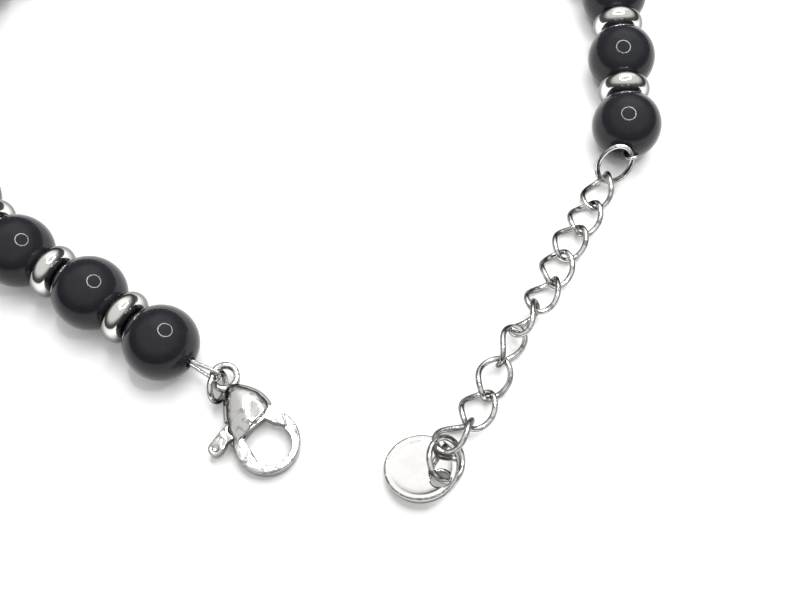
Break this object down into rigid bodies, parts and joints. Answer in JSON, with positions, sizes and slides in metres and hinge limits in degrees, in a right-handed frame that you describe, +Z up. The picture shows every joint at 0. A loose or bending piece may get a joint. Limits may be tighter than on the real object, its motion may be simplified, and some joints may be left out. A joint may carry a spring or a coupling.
{
  "type": "prayer bead bracelet",
  "caption": "Single strand of round dark stone beads with steel donut spacers, a lobster clasp, and an extender chain that ends in a round tag.",
  "frame": {"origin": "bottom centre of the laid-out object's bounding box, on the table", "axes": "+Z up from the table, -Y towards the clasp and chain ends, +X towards the chain end of the strand"},
  "size_m": [0.0916, 0.0902, 0.008],
  "materials": {
    "bead_stone": "polished near-black stone",
    "polished_steel": "bright polished stainless steel",
    "cable_steel": "bright fine-stranded steel beading cable",
    "spring_steel": "spring wire"
  },
  "bodies": {
    "bead_01": {"bead_01": "bead_stone"},
    "bead_02": {"bead_02": "bead_stone"},
    "bead_03": {"bead_03": "bead_stone"},
    "bead_04": {"bead_04": "bead_stone"},
    "bead_05": {"bead_05": "bead_stone"},
    "bead_06": {"bead_06": "bead_stone"},
    "bead_07": {"bead_07": "bead_stone"},
    "bead_08": {"bead_08": "bead_stone"},
    "bead_09": {"bead_09": "bead_stone"},
    "bead_10": {"bead_10": "bead_stone", "beading_cable": "cable_steel"},
    "bead_11": {"bead_11": "bead_stone"},
    "bead_12": {"bead_12": "bead_stone"},
    "bead_13": {"bead_13": "bead_stone"},
    "bead_14": {"bead_14": "bead_stone"},
    "bead_15": {"bead_15": "bead_stone"},
    "bead_16": {"bead_16": "bead_stone"},
    "bead_17": {"bead_17": "bead_stone"},
    "bead_18": {"bead_18": "bead_stone"},
    "bead_19": {"bead_19": "bead_stone"},
    "spacer_01": {"spacer_01": "polished_steel", "crimp_clasp_end": "polished_steel"},
    "spacer_02": {"spacer_02": "polished_steel"},
    "spacer_03": {"spacer_03": "polished_steel"},
    "spacer_04": {"spacer_04": "polished_steel"},
    "spacer_05": {"spacer_05": "polished_steel"},
    "spacer_06": {"spacer_06": "polished_steel"},
    "spacer_07": {"spacer_07": "polished_steel"},
    "spacer_08": {"spacer_08": "polished_steel"},
    "spacer_09": {"spacer_09": "polished_steel"},
    "spacer_10": {"spacer_10": "polished_steel"},
    "spacer_11": {"spacer_11": "polished_steel"},
    "spacer_12": {"spacer_12": "polished_steel"},
    "spacer_13": {"spacer_13": "polished_steel"},
    "spacer_14": {"spacer_14": "polished_steel"},
    "spacer_15": {"spacer_15": "polished_steel"},
    "spacer_16": {"spacer_16": "polished_steel"},
    "spacer_17": {"spacer_17": "polished_steel"},
    "spacer_18": {"spacer_18": "polished_steel", "crimp_chain_end": "polished_steel"},
    "clasp_jump_ring": {"clasp_jump_ring": "polished_steel"},
    "chain_jump_ring": {"chain_jump_ring": "polished_steel"},
    "chain_link_01": {"chain_link_01": "polished_steel"},
    "chain_link_02": {"chain_link_02": "polished_steel"},
    "chain_link_03": {"chain_link_03": "polished_steel"},
    "chain_link_04": {"chain_link_04": "polished_steel"},
    "chain_link_05": {"chain_link_05": "polished_steel"},
    "chain_link_06": {"chain_link_06": "polished_steel"},
    "chain_link_07": {"chain_link_07": "polished_steel"},
    "chain_link_08": {"chain_link_08": "polished_steel"},
    "chain_link_09": {"chain_link_09": "polished_steel"},
    "chain_link_10": {"chain_link_10": "polished_steel"},
    "tag_ring": {"tag_ring": "polished_steel"},
    "tag_disc": {"tag_disc": "polished_steel"},
    "clasp": {"clasp_body": "polished_steel", "clasp_pin": "polished_steel", "clasp_spring": "spring_steel"},
    "clasp_lever": {"clasp_lever": "polished_steel"}
  },
  "joints": [
    {"name": "lever_turn", "type": "hinge", "parent": "clasp", "child": "clasp_lever", "pos_m": [-0.00207, -0.03745, 0.00154], "axis": [-0.047, 0.0692, -0.9965], "range_deg": [0, 25], "stiffness_Nm_per_rad": 0.003, "springref_deg": -20.05},
    {"name": "clasp_swing", "type": "hinge", "parent": "clasp_jump_ring", "child": "clasp", "pos_m": [-0.00378, -0.03153, 0.00185], "axis": [0.2277, -0.34, -0.9124], "range_deg": [-24, 4]},
    {"name": "clasp_ring_swing", "type": "hinge", "parent": "bead_01", "child": "clasp_jump_ring", "pos_m": [-0.00446, -0.03215, 0.00358], "axis": [0.3146, 0.8317, -0.4574], "range_deg": [-24, 24]},
    {"name": "chain_ring_swing", "type": "hinge", "parent": "bead_19", "child": "chain_jump_ring", "pos_m": [0.04123, -0.00586, 0.00464], "axis": [-0.514, 0.5659, 0.6447], "range_deg": [-6, 24]},
    {"name": "link_01_swing", "type": "hinge", "parent": "chain_jump_ring", "child": "chain_link_01", "pos_m": [0.03842, -0.00709, 0.00159], "axis": [0.8787, -0.4067, -0.2499], "range_deg": [-24, 24]},
    {"name": "link_02_swing", "type": "hinge", "parent": "chain_link_01", "child": "chain_link_02", "pos_m": [0.03677, -0.01056, 0.00107], "axis": [-0.8984, 0.4047, 0.1704], "range_deg": [-24, 24]},
    {"name": "link_03_swing", "type": "hinge", "parent": "chain_link_02", "child": "chain_link_03", "pos_m": [0.03481, -0.01389, 0.00129], "axis": [0.6997, -0.4271, -0.5727], "range_deg": [-24, 24]},
    {"name": "link_04_swing", "type": "hinge", "parent": "chain_link_03", "child": "chain_link_04", "pos_m": [0.03263, -0.01708, 0.0012], "axis": [-0.5935, 0.3854, 0.7066], "range_deg": [-24, 24]},
    {"name": "link_05_swing", "type": "hinge", "parent": "chain_link_04", "child": "chain_link_05", "pos_m": [0.0314, -0.02073, 0.00158], "axis": [0.6438, -0.2999, -0.704], "range_deg": [-24, 24]},
    {"name": "link_06_swing", "type": "hinge", "parent": "chain_link_05", "child": "chain_link_06", "pos_m": [0.02917, -0.02388, 0.00191], "axis": [-0.7883, 0.5589, 0.2573], "range_deg": [-14, 16]},
    {"name": "link_07_swing", "type": "hinge", "parent": "chain_link_06", "child": "chain_link_07", "pos_m": [0.02709, -0.02709, 0.0024], "axis": [0.7593, -0.4203, 0.4968], "range_deg": [-10, 12]},
    {"name": "link_08_swing", "type": "hinge", "parent": "chain_link_07", "child": "chain_link_08", "pos_m": [0.02512, -0.03039, 0.00191], "axis": [-0.1693, 0.2196, -0.9608], "range_deg": [-22, 14]},
    {"name": "link_09_swing", "type": "hinge", "parent": "chain_link_08", "child": "chain_link_09", "pos_m": [0.02355, -0.03386, 0.00128], "axis": [-0.5109, 0.0888, 0.8551], "range_deg": [-24, 24]},
    {"name": "link_10_swing", "type": "hinge", "parent": "chain_link_09", "child": "chain_link_10", "pos_m": [0.02162, -0.03714, 0.00208], "axis": [0.608, -0.4798, -0.6326], "range_deg": [-24, 24]},
    {"name": "tag_ring_swing", "type": "hinge", "parent": "chain_link_10", "child": "tag_ring", "pos_m": [0.01851, -0.03948, 0.00201], "axis": [0.6293, -0.7771, 0.0006], "range_deg": [-18, 1]},
    {"name": "tag_swing", "type": "hinge", "parent": "tag_ring", "child": "tag_disc", "pos_m": [0.01873, -0.04264, 0.00189], "axis": [0.7358, -0.2696, -0.6212], "range_deg": [-18, 1]},
    {"name": "bead_10_turn_out", "type": "hinge", "parent": "bead_10", "child": "spacer_10", "pos_m": [-0.01885, 0.03726, 0.004], "axis": [0, 0, 1], "range_deg": [-10, 17.5], "deforming": ["beading_cable"]},
    {"name": "bead_11_lift_out", "type": "hinge", "parent": "spacer_10", "child": "bead_11", "pos_m": [-0.00915, 0.0399, 0.004], "axis": [0.2622, -0.965, 0], "range_deg": [-25, 25]},
    {"name": "bead_11_turn_out", "type": "hinge", "parent": "bead_11", "child": "spacer_11", "pos_m": [-0.00915, 0.0399, 0.004], "axis": [0, 0, -1], "range_deg": [-43.6, 5]},
    {"name": "bead_12_lift_out", "type": "hinge", "parent": "spacer_11", "child": "bead_12", "pos_m": [0.00084, 0.04106, 0.004], "axis": [-0.1149, 0.9934, 0], "range_deg": [-25, 25]},
    {"name": "bead_12_turn_out", "type": "hinge", "parent": "bead_12", "child": "spacer_12", "pos_m": [0.00084, 0.04106, 0.004], "axis": [0, 0, 1], "range_deg": [-5, 43.1]},
    {"name": "bead_13_lift_out", "type": "hinge", "parent": "spacer_12", "child": "bead_13", "pos_m": [0.01089, 0.04079, 0.004], "axis": [-0.0262, -0.9997, 0], "range_deg": [-25, 25]},
    {"name": "bead_13_turn_out", "type": "hinge", "parent": "bead_13", "child": "spacer_13", "pos_m": [0.01089, 0.04079, 0.004], "axis": [0, 0, -1], "range_deg": [-44.5, 5]},
    {"name": "bead_14_lift_out", "type": "hinge", "parent": "spacer_13", "child": "bead_14", "pos_m": [0.02076, 0.03887, 0.004], "axis": [0.1908, 0.9816, 0], "range_deg": [-25, 25]},
    {"name": "bead_14_turn_out", "type": "hinge", "parent": "bead_14", "child": "spacer_14", "pos_m": [0.02076, 0.03887, 0.004], "axis": [0, 0, 1], "range_deg": [-5, 47.9]},
    {"name": "bead_15_lift_out", "type": "hinge", "parent": "spacer_14", "child": "bead_15", "pos_m": [0.02995, 0.0348, 0.004], "axis": [-0.4051, -0.9143, 0], "range_deg": [-25, 25]},
    {"name": "bead_15_turn_out", "type": "hinge", "parent": "bead_15", "child": "spacer_15", "pos_m": [0.02995, 0.0348, 0.004], "axis": [0, 0, -1], "range_deg": [-52.7, 5]},
    {"name": "bead_16_lift_out", "type": "hinge", "parent": "spacer_15", "child": "bead_16", "pos_m": [0.03747, 0.02812, 0.004], "axis": [0.6639, 0.7478, 0], "range_deg": [-25, 25]},
    {"name": "bead_16_turn_out", "type": "hinge", "parent": "bead_16", "child": "spacer_16", "pos_m": [0.03747, 0.02812, 0.004], "axis": [0, 0, 1], "range_deg": [-5, 57.7]},
    {"name": "bead_17_lift_out", "type": "hinge", "parent": "spacer_16", "child": "bead_17", "pos_m": [0.04183, 0.01906, 0.004], "axis": [-0.9011, -0.4337, 0], "range_deg": [-25, 25]},
    {"name": "bead_17_turn_out", "type": "hinge", "parent": "bead_17", "child": "spacer_17", "pos_m": [0.04183, 0.01906, 0.004], "axis": [0, 0, -1], "range_deg": [-61.4, 5]},
    {"name": "bead_18_lift_out", "type": "hinge", "parent": "spacer_17", "child": "bead_18", "pos_m": [0.04171, 0.00901, 0.004], "axis": [0.9999, -0.0122, 0], "range_deg": [-25, 25]},
    {"name": "bead_18_turn_out", "type": "hinge", "parent": "bead_18", "child": "spacer_18", "pos_m": [0.04171, 0.00901, 0.004], "axis": [0, 0, 1], "range_deg": [-10, 36.8]},
    {"name": "bead_19_lift_out", "type": "hinge", "parent": "spacer_18", "child": "bead_19", "pos_m": [0.04127, -0.00104, 0.004], "axis": [-0.999, 0.0436, 0], "range_deg": [-25, 25]},
    {"name": "bead_10_turn_back", "type": "hinge", "parent": "bead_10", "child": "spacer_09", "pos_m": [-0.01885, 0.03726, 0.004], "axis": [0, 0, -1], "range_deg": [-10, 17.5]},
    {"name": "bead_09_lift_back", "type": "hinge", "parent": "spacer_09", "child": "bead_09", "pos_m": [-0.02787, 0.03281, 0.004], "axis": [0.4431, -0.8965, 0], "range_deg": [-25, 25]},
    {"name": "bead_09_turn_back", "type": "hinge", "parent": "bead_09", "child": "spacer_08", "pos_m": [-0.02787, 0.03281, 0.004], "axis": [0, 0, 1], "range_deg": [-49.9, 15]},
    {"name": "bead_08_lift_back", "type": "hinge", "parent": "spacer_08", "child": "bead_08", "pos_m": [-0.03543, 0.02619, 0.004], "axis": [-0.6587, 0.7524, 0], "range_deg": [-25, 25]},
    {"name": "bead_08_turn_back", "type": "hinge", "parent": "bead_08", "child": "spacer_07", "pos_m": [-0.03543, 0.02619, 0.004], "axis": [0, 0, -1], "range_deg": [-16, 54]},
    {"name": "bead_07_lift_back", "type": "hinge", "parent": "spacer_07", "child": "bead_07", "pos_m": [-0.04043, 0.01746, 0.004], "axis": [0.8678, -0.497, 0], "range_deg": [-25, 25]},
    {"name": "bead_07_turn_back", "type": "hinge", "parent": "bead_07", "child": "spacer_06", "pos_m": [-0.04043, 0.01746, 0.004], "axis": [0, 0, 1], "range_deg": [-56.8, 13.2]},
    {"name": "bead_06_lift_back", "type": "hinge", "parent": "spacer_06", "child": "bead_06", "pos_m": [-0.04183, 0.0075, 0.004], "axis": [-0.9903, 0.1392, 0], "range_deg": [-25, 25]},
    {"name": "bead_06_turn_back", "type": "hinge", "parent": "bead_06", "child": "spacer_05", "pos_m": [-0.04183, 0.0075, 0.004], "axis": [0, 0, -1], "range_deg": [-13.9, 56.1]},
    {"name": "bead_05_lift_back", "type": "hinge", "parent": "spacer_05", "child": "bead_05", "pos_m": [-0.03955, -0.00229, 0.004], "axis": [0.974, 0.2267, 0], "range_deg": [-25, 25]},
    {"name": "bead_05_turn_back", "type": "hinge", "parent": "bead_05", "child": "spacer_04", "pos_m": [-0.03955, -0.00229, 0.004], "axis": [0, 0, 1], "range_deg": [-53.3, 16.7]},
    {"name": "bead_04_lift_back", "type": "hinge", "parent": "spacer_04", "child": "bead_04", "pos_m": [-0.03431, -0.01087, 0.004], "axis": [-0.8536, -0.521, 0], "range_deg": [-25, 25]},
    {"name": "bead_04_turn_back", "type": "hinge", "parent": "bead_04", "child": "spacer_03", "pos_m": [-0.03431, -0.01087, 0.004], "axis": [0, 0, -1], "range_deg": [-20, 50]},
    {"name": "bead_03_lift_back", "type": "hinge", "parent": "spacer_03", "child": "bead_03", "pos_m": [-0.02703, -0.01781, 0.004], "axis": [0.6896, 0.7242, 0], "range_deg": [-25, 25]},
    {"name": "bead_03_turn_back", "type": "hinge", "parent": "bead_03", "child": "spacer_02", "pos_m": [-0.02703, -0.01781, 0.004], "axis": [0, 0, 1], "range_deg": [-47.8, 22.2]},
    {"name": "bead_02_lift_back", "type": "hinge", "parent": "spacer_02", "child": "bead_02", "pos_m": [-0.01839, -0.02296, 0.004], "axis": [-0.512, -0.859, 0], "range_deg": [-25, 25]},
    {"name": "bead_02_turn_back", "type": "hinge", "parent": "bead_02", "child": "spacer_01", "pos_m": [-0.01839, -0.02296, 0.004], "axis": [0, 0, -1], "range_deg": [-39.1, 30.9]},
    {"name": "bead_01_lift_back", "type": "hinge", "parent": "spacer_01", "child": "bead_01", "pos_m": [-0.01015, -0.02871, 0.004], "axis": [0.5721, 0.8202, 0], "range_deg": [-25, 25]}
  ]
}
